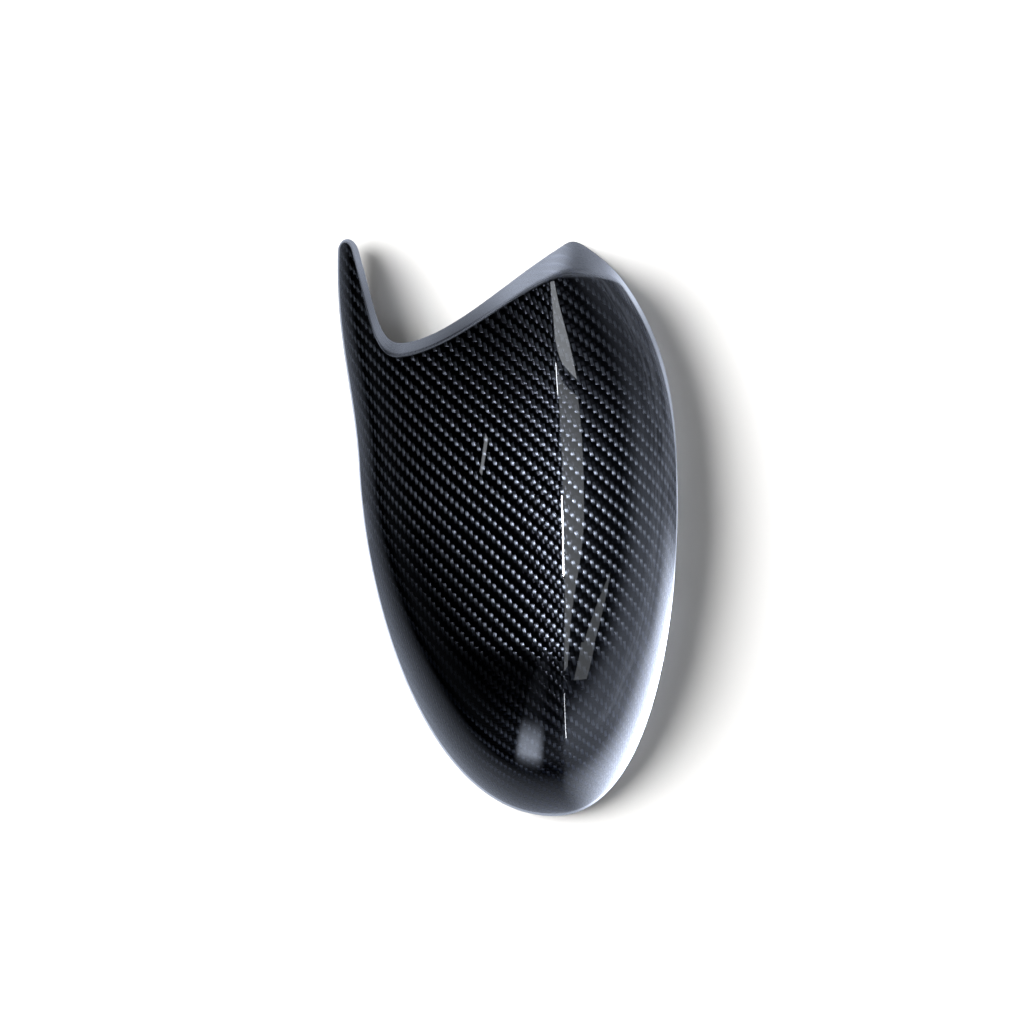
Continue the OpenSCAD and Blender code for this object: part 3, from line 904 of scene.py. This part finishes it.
class MIRROR_OT_stage(bpy.types.Operator):
    """Sets the white floor, the surroundings, the lights and the camera"""
    bl_idname = "mirror.stage"
    bl_label = "Set Stage"

    def execute(self, context):
        look = context.scene.mirror_stage
        self.camera(context, look)
        self.floor(look)
        self.world(context, look)
        self.key_light()
        self.ceiling_panel("crest_strip", middle=(0.3, 0.075), size=(0.05, 0.2), radiance=900.0)
        self.ceiling_panel("ceiling_softbox", middle=(0.72, -0.02), size=(0.6, 1.3), radiance=2.2)
        self.ceiling_panel("ceiling_window", middle=(0.75, 0.98), size=(0.6, 0.54), radiance=5.0)
        self.ceiling_panel("peak_strip", middle=(0.33, 0.56), size=(0.05, 0.1), radiance=60.0)
        self.softbox("low_right_softbox", zenith=65, azimuth=-21, size=(0.62, 0.2), radiance=1.5, roll=21)
        self.softbox("nose_strip", zenith=72, azimuth=-65, size=(0.02, 0.8), radiance=70.0)
        self.softbox("left_tube", zenith=27, azimuth=146, size=(0.16, 0.026), radiance=4.5)
        context.scene.view_settings.view_transform = "Standard"
        return {"FINISHED"}

    def camera(self, context, look):
        data = bpy.data.cameras.new("camera")
        made = bpy.data.objects.new("camera", data)
        context.scene.collection.objects.link(made)
        made.location = (*CAMERA_PLACE, look.camera_height)
        data.lens = data.sensor_width * look.camera_height / look.frame_width
        context.scene.camera = made

    def floor(self, look):
        half = FLOOR_HALF / MM
        corners = [(-half, -half, 0), (half, -half, 0), (half, half, 0), (-half, half, 0)]
        floor = mesh_object("floor", corners, [(0, 1, 2, 3)], [self.floor_white(look)], smooth=False)

    def floor_white(self, look):
        """Floor that takes the shadow near the cover, is white far off, and is lit softly in the gloss"""
        material = bpy.data.materials.new("floor_white")
        graph = Graph(material)
        place = graph.node("NewGeometry").outputs["Position"]
        away = graph.vector_maths("SUBTRACT", place, FLOOR_MIDDLE)
        far = graph.measure("LENGTH", away)
        mirrored = graph.node("Emission", tuple(look.surround), self.mirrored_floor(graph, place, away, far))
        lit = graph.node("BsdfDiffuse", tuple(look.floor))
        white = graph.node("Emission", (1.0, 1.0, 1.0), 1.0)
        path = graph.node("LightPath")
        fade = graph.maths("MULTIPLY", graph.smooth(far, *WHITE_RANGE), path.outputs["Is Camera Ray"])
        seen = graph.node("MixShader", fade, lit.outputs[0], white.outputs[0])
        reflected = graph.maths("MAXIMUM", path.outputs["Is Glossy Ray"], path.outputs["Is Transmission Ray"])
        graph.finish(graph.node("MixShader", reflected, seen.outputs[0], mirrored.outputs[0]))
        return material

    def mirrored_floor(self, graph, place, away, far):
        """Brightness of the floor in the gloss: soft ovals near the cover, and the horizon beyond"""
        horizon, right = self.horizon(graph, away)
        # Painted light and shade: mottled brightness of the floor that only the gloss shows
        cloud = graph.smooth(graph.noise(place, PAINTED_MOTTLE_SCALE, 1.0), *PAINTED_MOTTLE_RANGE)
        beyond = graph.smooth(graph.measure("DOT_PRODUCT", place, PAINTED_MOTTLE_WAY), *PAINTED_MOTTLE_EDGE)
        near = graph.pick(beyond, self.oval(graph, place, *HALO), cloud)
        near = graph.maths("MULTIPLY", near, self.oval(graph, place, *NOTCH_SHADE))
        near = graph.maths("MULTIPLY_ADD", right, self.oval(graph, place, *GLARE), near)
        return graph.pick(graph.smooth(far, *HORIZON_RANGE), near, horizon)

    def oval(self, graph, place, middle, reach, inside, outside):
        """Brightness that goes softly from an oval's middle to what lies round it"""
        away = graph.vector_maths("SUBTRACT", place, (*middle, 0.0))
        away = graph.vector_maths("DIVIDE", away, (*reach, 1.0))
        return graph.smooth(graph.measure("LENGTH", away), 0.0, 1.0, inside, outside)

    def horizon(self, graph, place):
        """Brightness of the horizon by direction, and the share of its bright right side"""
        way = graph.vector_maths("NORMALIZE", graph.vector_maths("MULTIPLY", place, (1.0, 1.0, 0.0)))
        right = graph.smooth(graph.measure("DOT_PRODUCT", way, RIGHT_WAY), *RIGHT_RANGE)
        nose = graph.smooth(graph.measure("DOT_PRODUCT", way, NOSE_WAY), *NOSE_RANGE)
        side = graph.smooth(graph.node("SeparateXYZ", way).outputs[0], *SIDE_RANGE)
        bright = graph.maths("MULTIPLY_ADD", right, RIGHT_GLOW, side)
        return graph.maths("MULTIPLY_ADD", nose, NOSE_GLOW, bright), right

    def world(self, context, look):
        """Dark overhead and lit at the horizon, as in a lit tent with an open top"""
        world = bpy.data.worlds.new("surroundings")
        context.scene.world = world
        graph = Graph(world)
        place = graph.node("TexCoord").outputs["Generated"]
        height = graph.smooth(graph.node("SeparateXYZ", place).outputs[2], *SKY_RANGE)
        bright = graph.maths("MULTIPLY", self.horizon(graph, place)[0], height)
        path = graph.node("LightPath")
        even = (look.ambient, look.ambient, look.ambient)
        lit = graph.tint(path.outputs["Is Glossy Ray"], even, graph.scaled(tuple(look.surround), bright))
        shown = graph.tint(path.outputs["Is Camera Ray"], lit, (1.0, 1.0, 1.0))
        background = graph.node("Background", shown, 1.0)
        output = graph.node("OutputWorld")
        graph.tree.links.new(background.outputs[0], output.inputs[0])

    def key_light(self):
        """Light for the floor and the shadow; the gloss is left to the softboxes"""
        data = bpy.data.lights.new("key_light", "AREA")
        data.shape = "DISK"
        data.size = KEY_SIZE
        data.energy = KEY_WATTS
        made = self.aimed(data, zenith=34, azimuth=169, distance=1.7)
        made.visible_glossy = False

    def area(self, name, size, radiance):
        """Data of a rectangular lamp that is evenly bright over its size"""
        data = bpy.data.lights.new(name, "AREA")
        data.shape = "RECTANGLE"
        data.size, data.size_y = size
        data.energy = radiance * math.pi * size[0] * size[1]
        data.color = LAMP_TINT
        return data

    def softbox(self, name, zenith, azimuth, size, radiance, roll=0):
        """A lamp that faces the cover from a direction given in degrees; its size is in metres"""
        made = self.aimed(self.area(name, size, radiance), zenith, azimuth, LAMP_DISTANCE)
        made.rotation_euler.rotate_axis("Z", math.radians(roll))
        made.visible_diffuse = False

    def ceiling_panel(self, name, middle, size, radiance):
        """A level panel; its middle and size are shares of its height above the cover"""
        height = LAMP_DISTANCE
        data = self.area(name, (size[0] * height, size[1] * height), radiance)
        made = bpy.data.objects.new(name, data)
        bpy.context.scene.collection.objects.link(made)
        made.location = Vector(COVER_MIDDLE) + Vector((*middle, 1.0)) * height
        made.visible_diffuse = False

    def aimed(self, data, zenith, azimuth, distance):
        """A lamp pointed at the cover's middle from a direction in degrees"""
        made = bpy.data.objects.new(data.name, data)
        bpy.context.scene.collection.objects.link(made)
        tilt, turn = math.radians(zenith), math.radians(azimuth)
        away = Vector((math.sin(tilt) * math.cos(turn), math.sin(tilt) * math.sin(turn), math.cos(tilt)))
        made.location = Vector(COVER_MIDDLE) + away * distance
        made.rotation_euler = away.to_track_quat("Z", "Y").to_euler()
        return made


class MIRROR_PT_panel(bpy.types.Panel):
    """Lists the cover's steps in the sidebar"""
    bl_label = "Mirror Cover"
    bl_idname = "MIRROR_PT_panel"
    bl_space_type = "VIEW_3D"
    bl_region_type = "UI"
    bl_category = "Mirror Cover"

    def draw(self, context):
        for step in STEPS:
            self.layout.operator(step.bl_idname)
        for group in GROUPS:
            box = self.layout.box()
            for name in GROUPS[group].__annotations__:
                box.prop(getattr(context.scene, group), name)


STEPS = (MIRROR_OT_moulding, MIRROR_OT_clips, MIRROR_OT_adhesive, MIRROR_OT_stage)
GROUPS = {
    "mirror_shape": CoverShape,
    "mirror_carbon": CarbonFinish,
    "mirror_brackets": BracketFinish,
    "mirror_stage": StageLook,
}


def register():
    for group, kind in GROUPS.items():
        bpy.utils.register_class(kind)
        setattr(bpy.types.Scene, group, bpy.props.PointerProperty(type=kind))
    for kind in (*STEPS, MIRROR_PT_panel):
        bpy.utils.register_class(kind)


def unregister():
    for kind in reversed((*STEPS, MIRROR_PT_panel)):
        bpy.utils.unregister_class(kind)
    for group, kind in GROUPS.items():
        delattr(bpy.types.Scene, group)
        bpy.utils.unregister_class(kind)


def main():
    register()
    bpy.ops.mirror.moulding()
    bpy.ops.mirror.clips()
    bpy.ops.mirror.adhesive()
    bpy.ops.mirror.stage()


if __name__ == "__main__":
    main()
